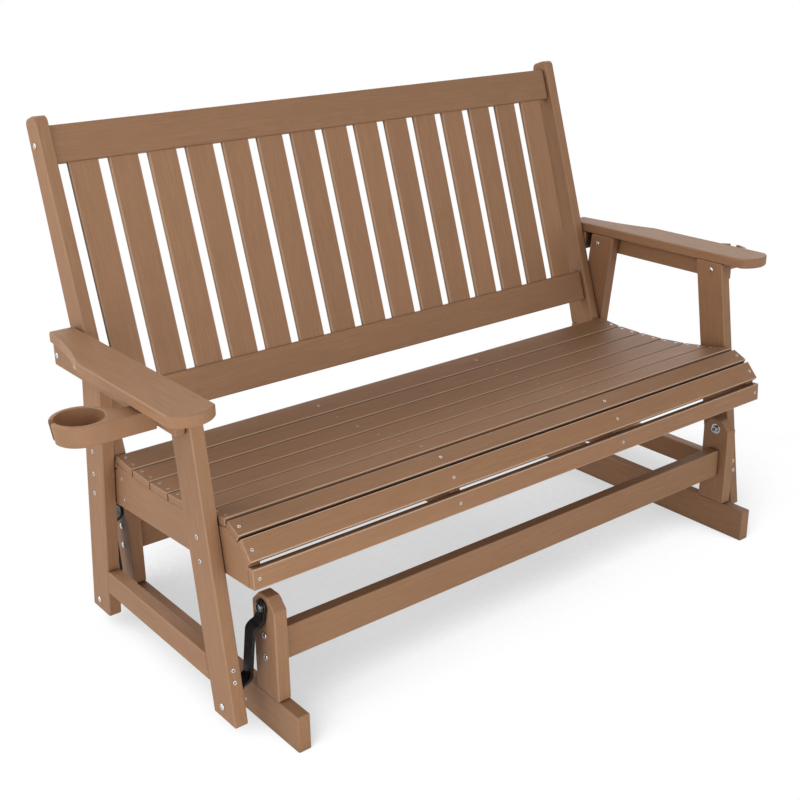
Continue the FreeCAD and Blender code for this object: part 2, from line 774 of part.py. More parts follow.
def cup_holder(side):
    """Moulded cup with a tapered wall on a flared tongue, slit for a handle down through its floor."""
    body = new_body("cup_holder_" + side)
    turn(body, "PartDesign::Revolution", "Bowl", [
        ("0", "0"),
        ("cup_base_radius", "0"),
        ("cup_rim_radius", "cup_height"),
        ("0", "cup_height"),
    ])
    root = sided(side, "-cup_reach")
    tongue = outline(body, "TongueOutline", "XY_Plane", [
        (root, "-tongue_front"),
        ("0", "-cup_base_radius"),
        ("0", "0"),
        (sided(side, "-cup_base_radius * sin(flare_start)"), "cup_base_radius * cos(flare_start)"),
        (root, "tongue_rear"),
    ], bends={3: sided(side, "flare_radius")})
    extrude(body, tongue, "cup_height", midplane=False, name="Tongue")
    whole = body.Shape.Volume
    turn(body, "PartDesign::Groove", "Well", [
        ("0", "cup_floor"),
        ("cup_well_radius", "cup_floor"),
        ("cup_well_radius", "cup_height"),
        ("0", "cup_height"),
    ])
    hollow = body.Shape.Volume
    slit = outline(body, "SlitOutline", "XY_Plane", rectangle(
        sided(side, "cup_well_radius - slit_reach"), sided(side, "2 * cup_rim_radius"),
        "slit_offset - cup_slit / 2", "slit_offset + cup_slit / 2"))
    pocket = body.newObject("PartDesign::Pocket", "Slit")
    pocket.Profile = slit
    pocket.Type = "ThroughAll"
    pocket.Reversed = True
    body.Tip = pocket
    doc.recompute()
    if not body.Shape.Volume < hollow < whole:
        raise RuntimeError("cup holder is not hollowed")
    body.setExpression("Placement.Base.x", full(sided(side, "cup_x")))
    body.setExpression("Placement.Base.y", full("cup_y"))
    body.setExpression("Placement.Base.z", full("cup_z"))
    doc.recompute()
    return sub_part(body)


def check():
    """Stop where an object failed or a sub-part's shape is empty or not valid."""
    for item in doc.Objects:
        if {"Invalid", "Error"} & set(item.State):
            raise RuntimeError("%s failed: %s" % (item.Name, item.State))
    for body in parts:
        if body.Shape.isNull() or not body.Shape.isValid():
            raise RuntimeError("shape of %s is not valid" % body.Label)


base_pieces()
for side_name in SIDES:
    for end_name in ENDS:
        link(side_name, end_name)
pivot_bolts()
legs()
seat_frame()
seat_slats()
back()
arms()
for side_name in SIDES:
    cup_holder(side_name)
doc.recompute()
check()

os.makedirs("parts", exist_ok=True)
for body in parts:
    body.Shape.exportStep(os.path.join("parts", body.Label + ".step"))
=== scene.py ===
import json
import math
import random

import bmesh
import bpy
import numpy as np
from mathutils import Matrix, Vector


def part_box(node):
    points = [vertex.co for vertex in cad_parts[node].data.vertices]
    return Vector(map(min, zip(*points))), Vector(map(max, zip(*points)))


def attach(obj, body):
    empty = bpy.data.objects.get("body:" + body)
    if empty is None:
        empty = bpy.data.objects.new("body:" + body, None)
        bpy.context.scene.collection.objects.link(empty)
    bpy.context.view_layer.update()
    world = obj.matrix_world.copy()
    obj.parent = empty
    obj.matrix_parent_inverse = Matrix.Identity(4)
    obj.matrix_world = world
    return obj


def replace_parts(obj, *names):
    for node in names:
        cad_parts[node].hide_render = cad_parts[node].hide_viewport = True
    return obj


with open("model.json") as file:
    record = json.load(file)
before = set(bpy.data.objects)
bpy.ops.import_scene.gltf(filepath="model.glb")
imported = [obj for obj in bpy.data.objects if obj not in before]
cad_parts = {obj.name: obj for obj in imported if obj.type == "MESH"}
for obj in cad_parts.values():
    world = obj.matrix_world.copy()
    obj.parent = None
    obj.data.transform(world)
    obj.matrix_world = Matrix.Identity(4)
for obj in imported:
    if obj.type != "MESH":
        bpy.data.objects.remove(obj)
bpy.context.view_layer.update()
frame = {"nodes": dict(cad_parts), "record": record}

MM = 0.001
SIDES = {"left": -1, "right": 1}
chance = random.Random(7)

# Camera of the photograph: degrees, metres, and millimetres of sensor and focal length
YAW, PITCH, ROLL = 38.284, -21.2878, -0.7612
CAMERA_PLACE = (-1.46929, -1.75465, 1.25172)
SENSOR, LENS = 36, 55.614

# Distant soft lamps: where each stands, how wide it looks in degrees and its strength
SUNS = (
    ("left_lamp", (-1.0, 0.1, 0.30), 50, 0.42),
    ("front_lamp", (0.25, -1.0, 0.25), 50, 1.20),
    ("rear_left_lamp", (-0.5, 0.7, 0.6), 50, 0.90),
    ("rear_right_lamp", (0.6, 0.6, 0.6), 50, 0.80),
)
# Near round soft boxes: where each stands, its breadth, its power and where it points
SOFT_BOXES = (
    ("low_left_box", (-1.9, -1.0, 0.5), 1.2, 7.5, (-0.6, -0.1, 0.35)),
    ("low_front_box", (-0.7, -1.7, 0.3), 1.0, 4.2, (-0.3, -0.2, 0.3)),
    ("high_left_box", (-1.4, 0.3, 1.5), 1.2, 5.0, (-0.3, 0.0, 0.4)),
)
WORLD_LIGHT = 0.10
# The floor lies a little under the feet. Its soft shadow: how far things shade it, the side that the
# light comes from, and the share of open view that gives each of its tones
FLOOR_RADIUS = 14
FLOOR_DROP = 0.4 * MM
SHADE_REACH = 0.9
SHADE_WAY = (-0.6, -0.45, 0.66)
SHADE_RANGE = (0.46, 0.75)
SHADE_TONES = (0.60, 1.0)

BROWN = (0.356, 0.190, 0.100)
# Paler colour of eased edges: edge wear and a painted highlight
PALE_EDGE_WEAR_AND_HIGHLIGHT = (0.62, 0.44, 0.32)
DEEP_BLACK, SOFT_BLACK = (0.008, 0.008, 0.009), (0.018, 0.017, 0.017)
# Paler black of the links' edges: edge wear and a painted highlight
BLACK_EDGE_WEAR_AND_HIGHLIGHT = (0.06, 0.06, 0.06)
# Grain of the boards: how fine its noises are along, across and through a board
STREAK_SCALE = (14, 420, 420)
FIBRE_SCALE = (60, 1500, 1500)
BAND_SCALE = (3, 55, 55)
DRIFT_SCALE, DRIFT_REACH = 9.0, 10 * MM
CLOUD_SCALE, PIT_SCALE = 14.0, 1400.0
# Painted shade in seams and recesses: reach, shares of open view for darkest and unshaded, darkest factor
BOARD_PAINTED_SHADE = (35 * MM, 0.14, 0.62, 0.12)
METAL_PAINTED_SHADE = (4 * MM, 0.35, 0.85, 0.03)


def add_camera():
    """Camera at the photograph's angle. Yaw turns from +Y towards +X."""
    yaw, pitch, roll = (math.radians(angle) for angle in (YAW, PITCH, ROLL))
    forward = Vector((math.sin(yaw) * math.cos(pitch), math.cos(yaw) * math.cos(pitch), math.sin(pitch)))
    level = Vector((math.cos(yaw), -math.sin(yaw), 0))
    up = level.cross(forward)
    right = level * math.cos(roll) + up * math.sin(roll)
    top = up * math.cos(roll) - level * math.sin(roll)
    data = bpy.data.cameras.new("Camera")
    data.sensor_width = SENSOR
    data.lens = LENS
    camera = bpy.data.objects.new("Camera", data)
    camera.matrix_world = Matrix.Translation(CAMERA_PLACE) @ Matrix(
        (right, top, -forward)).transposed().to_4x4()
    bpy.context.scene.collection.objects.link(camera)
    bpy.context.scene.camera = camera


# Materials

class Nodes:
    """Small helper that adds and joins the nodes of one tree."""

    def __init__(self, tree):
        self.tree = tree
        tree.nodes.clear()

    def fill(self, socket, content):
        if isinstance(content, bpy.types.NodeSocket):
            self.tree.links.new(content, socket)
        else:
            socket.default_value = content

    def add(self, kind, values=None, **settings):
        node = self.tree.nodes.new(kind)
        for key, setting in settings.items():
            setattr(node, key, setting)
        for key, content in (values or {}).items():
            self.fill(node.inputs[key], content)
        return node

    def noise(self, vector, scale, detail=3.0, roughness=0.55):
        return self.add("ShaderNodeTexNoise", {
            "Vector": vector, "Scale": scale, "Detail": detail, "Roughness": roughness}).outputs["Fac"]

    def stretch(self, vector, scale):
        return self.add("ShaderNodeMapping", {"Vector": vector, "Scale": scale}).outputs["Vector"]

    def ramp(self, factor, low, high, to_low=0.0, to_high=1.0):
        return self.add("ShaderNodeMapRange", {
            "Value": factor, "From Min": low, "From Max": high,
            "To Min": to_low, "To Max": to_high}).outputs["Result"]

    def math(self, operation, first, second):
        return self.add("ShaderNodeMath", {0: first, 1: second}, operation=operation).outputs[0]

    def mix(self, factor, first, second):
        node = self.add("ShaderNodeMix", data_type="RGBA")
        for number, content in ((0, factor), (6, first), (7, second)):
            self.fill(node.inputs[number], content)
        return node.outputs[2]

    def scaled(self, colour, factor):
        node = self.add("ShaderNodeVectorMath", {0: colour, 3: factor}, operation="SCALE")
        return node.outputs["Vector"]

    def attribute(self, name, output="Fac"):
        return self.add("ShaderNodeAttribute", attribute_name=name).outputs[output]

    def painted_shade(self, reach, low, high, darkest):
        """Painted shade: factor that darkens seams, corners and recesses, whatever they are seen from."""
        openness = self.add("ShaderNodeAmbientOcclusion", {"Distance": reach}, samples=6).outputs["AO"]
        return self.ramp(openness, low, high, darkest, 1.0)

    def finish(self, kind, shader, socket=0):
        self.tree.links.new(shader.outputs[0], self.add(kind).inputs[socket])


def material(name):
    made = bpy.data.materials.new(name)
    made.use_nodes = True
    return made, Nodes(made.node_tree)


def tone(colour, factor=1.0):
    return (*(channel * factor for channel in colour), 1)


def board_material():
    """Through-coloured plastic board: brushed grain along its length, soft bands, paler edges (edge wear
    and painted highlight), painted shade in seams.

    The attribute grain holds each board's own place, in metres: along it, across it, through it.
    """
    made, nodes = material("plastic_board")
    grain = nodes.attribute("grain", "Vector")
    drift = nodes.add("ShaderNodeTexNoise", {
        "Vector": grain, "Scale": DRIFT_SCALE, "Detail": 1.0}).outputs["Color"]
    bent = nodes.add("ShaderNodeVectorMath", {0: grain, 1: nodes.scaled(drift, DRIFT_REACH)},
                     operation="ADD").outputs["Vector"]
    streaks = nodes.noise(nodes.stretch(bent, STREAK_SCALE), 1.0, 4.0, 0.6)
    fibres = nodes.noise(nodes.stretch(grain, FIBRE_SCALE), 1.0, 2.0, 0.5)
    bands = nodes.noise(nodes.stretch(bent, BAND_SCALE), 1.0, 2.0, 0.5)
    cloud = nodes.noise(grain, CLOUD_SCALE, 2.0, 0.5)
    pits = nodes.noise(grain, PIT_SCALE, 2.0, 0.5)
    colour = nodes.mix(nodes.ramp(streaks, 0.3, 0.72), tone(BROWN, 0.87), tone(BROWN, 1.13))
    colour = nodes.mix(nodes.ramp(bands, 0.35, 0.7, 0.0, 0.35), colour, tone(BROWN, 0.86))
    colour = nodes.mix(nodes.ramp(cloud, 0.35, 0.7, 0.0, 0.25), colour, tone(BROWN, 1.12))
    colour = nodes.mix(nodes.ramp(fibres, 0.55, 0.8, 0.0, 0.3), colour, tone(BROWN, 1.35))
    colour = nodes.mix(nodes.ramp(pits, 0.52, 0.75, 0.0, 0.28), colour, tone(BROWN, 1.4))
    # Each board's tone: a random tone times painted light for how much light falls on that board
    colour = nodes.scaled(colour, nodes.attribute("tone_and_painted_light"))
    # Paler eased edges: edge wear and a painted highlight
    colour = nodes.mix(nodes.attribute("edge"), colour, tone(PALE_EDGE_WEAR_AND_HIGHLIGHT))
    # Painted shade darkens seams, corners and recesses
    colour = nodes.scaled(colour, nodes.painted_shade(*BOARD_PAINTED_SHADE))
    height = nodes.math("ADD", nodes.math("MULTIPLY", streaks, 0.7), nodes.math("MULTIPLY", fibres, 0.3))
    height = nodes.math("ADD", height, nodes.math("MULTIPLY", pits, 0.25))
    bump = nodes.add("ShaderNodeBump", {"Strength": 0.45, "Distance": 0.00035, "Height": height})
    nodes.finish("ShaderNodeOutputMaterial", nodes.add("ShaderNodeBsdfPrincipled", {
        "Base Color": colour,
        "Roughness": nodes.ramp(streaks, 0.3, 0.75, 0.60, 0.47),
        "Normal": bump.outputs["Normal"],
        "IOR": 1.46,
        "Specular IOR Level": 0.28,
    }))
    return made


def moulding_material():
    """Moulded plastic of the same brown, finely eroded, without grain, with paler edges for edge wear and
    a painted highlight.
    """
    made, nodes = material("moulded_plastic")
    place = nodes.add("ShaderNodeTexCoord").outputs["Object"]
    cloud = nodes.noise(place, 22.0, 3.0, 0.5)
    grit = nodes.noise(place, 900.0, 3.0, 0.6)
    colour = nodes.mix(nodes.ramp(cloud, 0.35, 0.7), tone(BROWN, 0.95), tone(BROWN, 1.08))
    colour = nodes.mix(nodes.ramp(grit, 0.5, 0.75, 0.0, 0.3), colour, tone(BROWN, 1.25))
    # Paler eased edges: edge wear and a painted highlight
    colour = nodes.mix(nodes.attribute("edge"), colour, tone(PALE_EDGE_WEAR_AND_HIGHLIGHT))
    bump = nodes.add("ShaderNodeBump", {"Strength": 0.35, "Distance": 0.0002, "Height": grit})
    nodes.finish("ShaderNodeOutputMaterial", nodes.add("ShaderNodeBsdfPrincipled", {
        "Base Color": colour,
        "Roughness": nodes.ramp(cloud, 0.3, 0.7, 0.40, 0.50),
        "Normal": bump.outputs["Normal"],
        "IOR": 1.48,
        "Specular IOR Level": 0.35,
    }))
    return made


def black_material():
    """Black powder coat with its orange-peel skin, paler along the edges for wear and a painted
    highlight.
    """
    made, nodes = material("black_powder_coat")
    place = nodes.add("ShaderNodeTexCoord").outputs["Object"]
    peel = nodes.noise(place, 700.0, 2.0, 0.5)
    cloud = nodes.noise(place, 60.0, 3.0, 0.6)
    colour = nodes.mix(nodes.ramp(cloud, 0.3, 0.7), tone(DEEP_BLACK), tone(SOFT_BLACK))
    # Paler eased edges: edge wear and a painted highlight
    colour = nodes.mix(nodes.attribute("edge"), colour, tone(BLACK_EDGE_WEAR_AND_HIGHLIGHT))
    bump = nodes.add("ShaderNodeBump", {"Strength": 0.25, "Distance": 0.0002, "Height": peel})
    nodes.finish("ShaderNodeOutputMaterial", nodes.add("ShaderNodeBsdfPrincipled", {
        "Base Color": colour,
        "Roughness": nodes.ramp(cloud, 0.3, 0.7, 0.24, 0.36),
        "Normal": bump.outputs["Normal"],
        "IOR": 1.5,
        "Specular IOR Level": 0.25,
    }))
    return made


def metal_material(name, dark, light, low, high):
    """Plated steel with turning marks, small dull patches and painted shade in its recesses. low and high
    are of its roughness.
    """
    made, nodes = material(name)
    place = nodes.add("ShaderNodeTexCoord").outputs["Object"]
    cloud = nodes.noise(place, 260.0, 3.0, 0.6)
    marks = nodes.noise(nodes.stretch(place, (300, 2600, 2600)), 1.0, 2.0, 0.5)
    colour = nodes.mix(nodes.ramp(cloud, 0.3, 0.7), tone(dark), tone(light))
    # Painted shade darkens the recesses of heads and nuts
    colour = nodes.scaled(colour, nodes.painted_shade(*METAL_PAINTED_SHADE))
    bump = nodes.add("ShaderNodeBump", {"Strength": 0.2, "Distance": 0.0001, "Height": marks})
    nodes.finish("ShaderNodeOutputMaterial", nodes.add("ShaderNodeBsdfPrincipled", {
        "Base Color": colour,
        "Metallic": 1.0,
        "Roughness": nodes.ramp(cloud, 0.3, 0.7, low, high),
        "Normal": bump.outputs["Normal"],
    }))
    return made


# Boards and links: the node's own shape with its eased edges rounded

# Painted light: how much darker or paler some boards are drawn than the rest, for the light that falls on
# them, by the start of their names
BOARD_PAINTED_LIGHT = {"back_slat": 1.05, "seat_slat_8": 1.08, "seat_slat_9": 1.05, "leg_front": 0.99}
# How pale the eased edges of some boards are, for edge wear and a painted highlight, and last those of
# the rest
EDGE_SHARES = {"seat_slat": 1.0, "back_rail": 0.0, "back_slat": 0.5, "": 0.15}
# Faces narrower than this are eased edges
BOARD_EDGE, LINK_EDGE, CUP_EDGE = 2.4 * MM, 1.0 * MM, 0.9 * MM
LINK_EDGE_SHARE, CUP_EDGE_SHARE = 0.35, 0.3
# Eased edges shorter than this are less pale, by this factor
LONG_EDGE = 90 * MM
SHORT_EDGE_SHARE = 0.3
# Eased edges are rounded by this much where faces meet more sharply than so many degrees
SLAT_ROUND, BOARD_ROUND = 0.5 * MM, 0.9 * MM
WELD = 0.01 * MM
FLAT_ANGLE, SHARP_ANGLE = 0.5, 25
# The second nose slat reaches further up than in the solid, so that no light shows above it
RAISED_SLAT = "seat_slat_8"
SLAT_REACH = 2.2 * MM


def angle_of(edge):
    return edge.calc_face_angle(0) if len(edge.link_faces) == 2 else 0


def mark_edges(mesh, width, share):
    """Give the narrow faces, which are the eased edges, a share of paleness in the attribute edge, for
    edge wear and a painted highlight.
    """
    values = []
    for face in mesh.polygons:
        corners = [mesh.vertices[number].co for number in face.vertices]
        sides = [(corner - corners[number - 1]).length for number, corner in enumerate(corners)]
        narrow = 2 * face.area < width * sum(sides)
        long_share = share if max(sides) > LONG_EDGE else share * SHORT_EDGE_SHARE
        values.append(long_share if narrow else 0.0)
    mesh.attributes.new("edge", "FLOAT", "FACE").data.foreach_set("value", values)


def add_grain(mesh, axis, tone_and_painted_light):
    """Give each point its place in the board: along it, across it and through it."""
    places = np.array([point.co for point in mesh.vertices])
    along = Vector(axis).normalized()
    across = along.cross(Vector((0, 0, 1)) if abs(along.z) < 0.8 else Vector((1, 0, 0))).normalized()
    turn = np.array((along, across, along.cross(across))).T
    shift = np.array([chance.uniform(0, 30) for _ in range(3)])
    grain = ((places - places.mean(axis=0)) @ turn + shift).astype(np.float32)
    mesh.attributes.new("grain", "FLOAT_VECTOR", "POINT").data.foreach_set("vector", grain.ravel())
    # Each point also gets the board's tone: a random tone times painted light
    mesh.attributes.new("tone_and_painted_light", "FLOAT", "POINT").data.foreach_set("value", [tone_and_painted_light] * len(mesh.vertices))


def long_axis(node):
    """Direction of a board's length."""
    if node.startswith(("arm_", "side_rail", "seat_rib", "lower_rail")):
        return (0, 1, 0)
    if node.startswith("post"):
        return (0, 0, 1)
    places = np.array([point.co for point in frame["nodes"][node].data.vertices])
    return np.linalg.eigh(np.cov((places - places.mean(axis=0)).T))[1][:, 2]


def place(mesh, name, look, body, slot):
    piece = bpy.data.objects.new(name, mesh)
    mesh.materials.clear()
    mesh.materials.append(looks[look])
    bpy.context.scene.collection.objects.link(piece)
    for face in mesh.polygons:
        face.use_smooth = True
    normals = piece.modifiers.new("Normals", "WEIGHTED_NORMAL")
    normals.weight = 80
    normals.keep_sharp = True
    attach(piece, body)
    return piece


def mesh_of(shape, name):
    bmesh.ops.recalc_face_normals(shape, faces=shape.faces)
    mesh = bpy.data.meshes.new(name)
    shape.to_mesh(mesh)
    shape.free()
    return mesh


def round_edges(shape, size, least_angle):
    sharp = [edge for edge in shape.edges if angle_of(edge) > math.radians(least_angle)]
    bmesh.ops.bevel(shape, geom=sharp, offset=size, offset_type="OFFSET", segments=2, profile=0.5,
                    affect="EDGES", clamp_overlap=True)


def eased_mesh(node, size):
    """The node's shape with every chamfer rounded off on both sides."""
    shape = bmesh.new()
    shape.from_mesh(frame["nodes"][node].data)
    bmesh.ops.remove_doubles(shape, verts=shape.verts, dist=WELD)
    bmesh.ops.dissolve_limit(
        shape, angle_limit=math.radians(FLAT_ANGLE), verts=shape.verts, edges=shape.edges)
    round_edges(shape, size, SHARP_ANGLE)
    return mesh_of(shape, node)


def body_of(node):
    bodies = frame["record"]["behaviour"]["bodies"]
    return next(name for name, members in bodies.items() if node in members)


def widen_up(mesh, reach):
    """Move the upper half of a board's section up along its width."""
    places = np.array([point.co for point in mesh.vertices])
    centre = places.mean(axis=0)
    wide = np.linalg.eigh(np.cov((places - centre)[:, 1:].T))[1][:, 1]
    wide *= np.sign(wide[1])
    for point in mesh.vertices:
        if np.dot(np.array(point.co)[1:] - centre[1:], wide) > 0:
            point.co += Vector((0, *wide)) * reach


def share_of(node, shares, rest=1.0):
    """The first share in a table whose key the node's name starts with."""
    return next((share for start, share in shares.items() if node.startswith(start)), rest)


def dress_board(node):
    mesh = eased_mesh(node, SLAT_ROUND if node.startswith("seat_slat") else BOARD_ROUND)
    if node == RAISED_SLAT:
        widen_up(mesh, SLAT_REACH)
    mark_edges(mesh, BOARD_EDGE, share_of(node, EDGE_SHARES))
    # The board's tone: painted light by board name, times a random tone
    add_grain(mesh, long_axis(node), share_of(node, BOARD_PAINTED_LIGHT) * chance.uniform(0.95, 1.05))
    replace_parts(place(mesh, node + "_board", "board", body_of(node), "board"), node)


# Places along a link, in millimetres from its upper eye: those of the solid, and those of the
# photograph, where the upper joggle starts sooner. A link's lower eye hangs this far further back.
JOGGLE_STEPS = (0, 14, 28, 52, 127, 200)
SEEN_STEPS = (0, 14, 17, 44, 127, 200)
LINK_REACH = {"front": 31, "rear": -21}
LINK_LENGTH = 179


def dress_link(node):
    """The solid's link, with its upper joggle moved along the bar to where the photograph shows it."""
    mesh = eased_mesh(node, BOARD_ROUND)
    end = "front" if "_front_" in node else "rear"
    upper = Vector((0, *dict(zip(LINK_REACH, PIVOTS["upper"]["axes"]))[end])) * MM
    reach = LINK_REACH[end] / LINK_LENGTH
    down = Vector((0, reach, -math.sqrt(1 - reach ** 2)))
    for point in mesh.vertices:
        along = (point.co - upper).dot(down) / MM
        if along > 0:
            point.co += down * ((np.interp(along, JOGGLE_STEPS, SEEN_STEPS) - along) * MM)
    mark_edges(mesh, LINK_EDGE, LINK_EDGE_SHARE)
    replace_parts(place(mesh, node + "_bar", "link", body_of(node), "link"), node)


# Hardware: each form is a stack of rings about its own axis, given as (radius, height, star)

def ring_stack(shape, rings, where, outward, spin=0.0, sides=0, segments=24):
    """Add a turned form about an axis.

    The star share of a ring draws it in and out six times, for a driver's recess. sides makes the
    rings polygons of that many sides, whose radius is to their corners, which are a little blunt.
    """
    out = Vector(outward).normalized()
    side = out.orthogonal().normalized()
    other = out.cross(side)
    made = []
    for radius, height, star in rings:
        ring = []
        for number in range(segments):
            angle = 2 * math.pi * number / segments
            reach = radius * (1 + star * math.cos(6 * angle))
            if sides:
                half = math.pi / sides
                reach = min(radius * math.cos(half) / math.cos(angle % (2 * half) - half), radius * 0.97)
            angle += spin
            ring.append(shape.verts.new(Vector(where) + out * height
                                        + (side * math.cos(angle) + other * math.sin(angle)) * reach))
        made.append(ring)
    for low, high in zip(made, made[1:]):
        for number in range(segments):
            after = (number + 1) % segments
            shape.faces.new((low[number], low[after], high[after], high[number]))
    shape.faces.new(list(reversed(made[0])))
    shape.faces.new(made[-1])


def dome(radius, height, lip=0.6 * MM, sink=1.5 * MM, steps=6):
    """Low domed head with a small straight lip."""
    rings = [(radius * 0.96, -sink, 0), (radius, -sink * 0.5, 0), (radius, lip, 0)]
    for step in range(1, steps):
        angle = math.pi / 2 * step / steps
        rings.append((radius * math.cos(angle), lip + (height - lip) * math.sin(angle), 0))
    rings.append((radius * 0.08, height, 0))
    return rings


def screw(radius, height, sink=1.2 * MM):
    """Flat-topped screw head with rounded rim and a star recess."""
    star = 0.16
    return [
        (radius * 0.98, -sink, 0),
        (radius, height * 0.25, 0),
        (radius * 0.93, height * 0.8, 0),
        (radius * 0.82, height, 0),
        (radius * 0.66, height, 0),
        (radius * 0.52, height, star),
        (radius * 0.50, height * 0.6, star),
        (radius * 0.47, height - 1.6 * MM, star),
        (radius * 0.05, height - 1.9 * MM, 0),
    ]


def washer(radius, hole, thickness, soft=0.3 * MM):
    return [(hole, 0, 0), (radius - soft, 0, 0), (radius, soft, 0), (radius, thickness - soft, 0),
            (radius - soft, thickness, 0), (hole, thickness, 0)]


def set_of(name, look, body, items):
    """One piece of many heads. Each item is (rings, where, outward)."""
    shape = bmesh.new()
    for rings, where, outward in items:
        ring_stack(shape, rings, where, outward, spin=chance.uniform(0, 2 * math.pi))
    return place(mesh_of(shape, name), name, look, body, "bolt")


def millimetres(x, y, z):
    return Vector((x, y, z)) * MM


def slat_places(number, rows):
    """Places and outward direction of the screws on a seat slat: rows gives (x, share of the width)."""
    corners = np.array([point.co for point in frame["nodes"]["seat_slat_%d" % number].data.vertices])
    centre = (corners.min(axis=0) + corners.max(axis=0)) / 2
    section = corners[:, 1:] - centre[1:]
    wide = Vector((0, *np.linalg.eigh(np.cov(section.T))[1][:, 1]))
    if wide.y < 0 or abs(wide.y) < 0.3 and wide.z < 0:
        wide.negate()
    up = Vector((1, 0, 0)).cross(wide)
    if up.dot(Vector((0, -0.5, 1))) < 0:
        up.negate()
    half_width, half_depth = (
        max(abs(Vector((0, *row)).dot(way)) for row in section) for way in (wide, up))
    middle = Vector(centre.tolist())
    return [(Vector((x * MM, middle.y, middle.z)) + wide * (share * 2 * half_width) + up * half_depth, up)
            for x, share in rows]


# Places of the frame's heads on the right side, in millimetres; the left side mirrors them.
# Outer faces of posts, side rails, legs and arm rails, and the rows of screws in the slats:
POST_X = 581.5
RAIL_X = 625
LEG_X = 650
ARM_RAIL_X = 670
SLAT_END_X = 612.5
RIB_X = 206
# y and z of heads on those faces
STRETCHER_BOLTS = [(y, z) for y in (-270.95, 231.05) for z in (140, 180)]
SKID_SCREWS = ((-196.6, 20), (156.7, 20))
LEG_SCREWS = ((-197.1, 351), (-202.1, 310), (167.9, 375), (172.9, 330), (177.9, 290))
ARM_BOLTS = ((225.2, 545), (153.2, 545), (-171.8, 549))
RAIL_SCREWS = ((114.4, 333), (111.9, 293))
# Heights of the screws in the legs' long faces, and how far in from the leg's outer face they are
LOW_RAIL_SCREWS = (133, 112)
LOW_RAIL_INSET = 12
# Bolts in the stiles: how far up the stile from its foot, and back from its front edge
STILE_RISES = (106, 578)
STILE_DEPTH = 22
# Lean of the legs and of the back, in degrees
LEAN = {"front": 8.47, "rear": -7.19}
RECLINE = math.radians(17.475)


def leg_face(end, height):
    """Y of a leg's outer long face, in millimetres, at a height."""
    low, high = (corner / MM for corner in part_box("leg_%s_left" % end))
    edge = low.y if end == "front" else high.y
    return edge + (height - low.z) * math.tan(math.radians(LEAN[end]))


def hardware():
    """Carriage bolts and screws of the frame."""
    stile_up = Vector((0, math.sin(RECLINE), math.cos(RECLINE)))
    stile_back = Vector((0, math.cos(RECLINE), -math.sin(RECLINE)))
    stile_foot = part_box("stile_left")[0]
    bolt = dome(5.6 * MM, 2.6 * MM)
    large = screw(4.6 * MM, 0.9 * MM)
    medium = screw(3.9 * MM, 0.8 * MM)
    small = screw(3.0 * MM, 0.2 * MM)
    base, seat_bolts, seat_screws, slat_screws = [], [], [], []
    for sign in SIDES.values():
        out = Vector((sign, 0, 0))
        base += [(bolt, millimetres(sign * POST_X, *spot), out) for spot in STRETCHER_BOLTS]
        base += [(small, millimetres(sign * POST_X, *spot), out) for spot in SKID_SCREWS]
        seat_bolts += [(large, millimetres(sign * LEG_X, *spot), out) for spot in LEG_SCREWS]
        seat_bolts += [(bolt, millimetres(sign * ARM_RAIL_X, *spot), out) for spot in ARM_BOLTS]
        seat_bolts += [(bolt, millimetres(sign * RAIL_X, *spot), -out) for spot in ARM_BOLTS[1:]]
        seat_screws += [(medium, millimetres(sign * RAIL_X, *spot), out) for spot in RAIL_SCREWS]
        for rise in STILE_RISES:
            where = Vector((sign * RAIL_X * MM, stile_foot.y, stile_foot.z)) + stile_up * (rise * MM)
            seat_bolts.append((bolt, where + stile_back * (STILE_DEPTH * MM), out))
        for z in LOW_RAIL_SCREWS:
            for end, way in (("front", -1), ("rear", 1)):
                lean = math.radians(abs(LEAN[end]))
                where = millimetres(sign * (LEG_X - LOW_RAIL_INSET), leg_face(end, z), z)
                seat_screws.append((medium, where, (0, way * math.cos(lean), math.sin(lean))))
    for number in range(1, 10):
        shares = (-0.25, 0.25) if number <= 6 else (0.0,)
        rows = [(sign * RIB_X, 0.0) for sign in SIDES.values()]
        rows += [(sign * SLAT_END_X, share) for sign in SIDES.values() for share in shares]
        slat_screws += [(small, where, out) for where, out in slat_places(number, rows)]
    set_of("base_fasteners", "bolt", "base", base)
    set_of("seat_carriage_bolts", "bolt", "seat", seat_bolts)
    set_of("seat_frame_screws", "bolt", "seat", seat_screws)
    set_of("seat_slat_screws", "bolt", "seat", slat_screws)


# Pivot bolts: y and z of the front and rear axis, x of the faces that the head and the nut bear on,
# the head, and the looks of bolt and nut
PIVOTS = {
    "upper": {
        "axes": ((-269.95, 234.0), (230.05, 234.0)),
        "head_x": 587.5,
        "nut_x": 556.5,
        "head": dome(8.6 * MM, 4.6 * MM, sink=0.0),
        "look": "dark_bolt",
        "nut_look": "bolt",
    },
    "lower": {
        "axes": ((-238.95, 57.705), (209.05, 56.236)),
        "head_x": 650.0,
        "nut_x": 619.0,
        "head": dome(6.0 * MM, 3.0 * MM, sink=0.0),
        "look": "bolt",
        "nut_look": "bolt",
    },
}
SHANK = 4 * MM
WASHER = 11 * MM
WASHER_THICK = 1.2 * MM
NUT_CORNER = 13 / math.sqrt(3) * MM
NUT_HEIGHT = 7 * MM
NUT_CHAMFER = 0.8 * MM
THREAD_END = 1.5 * MM


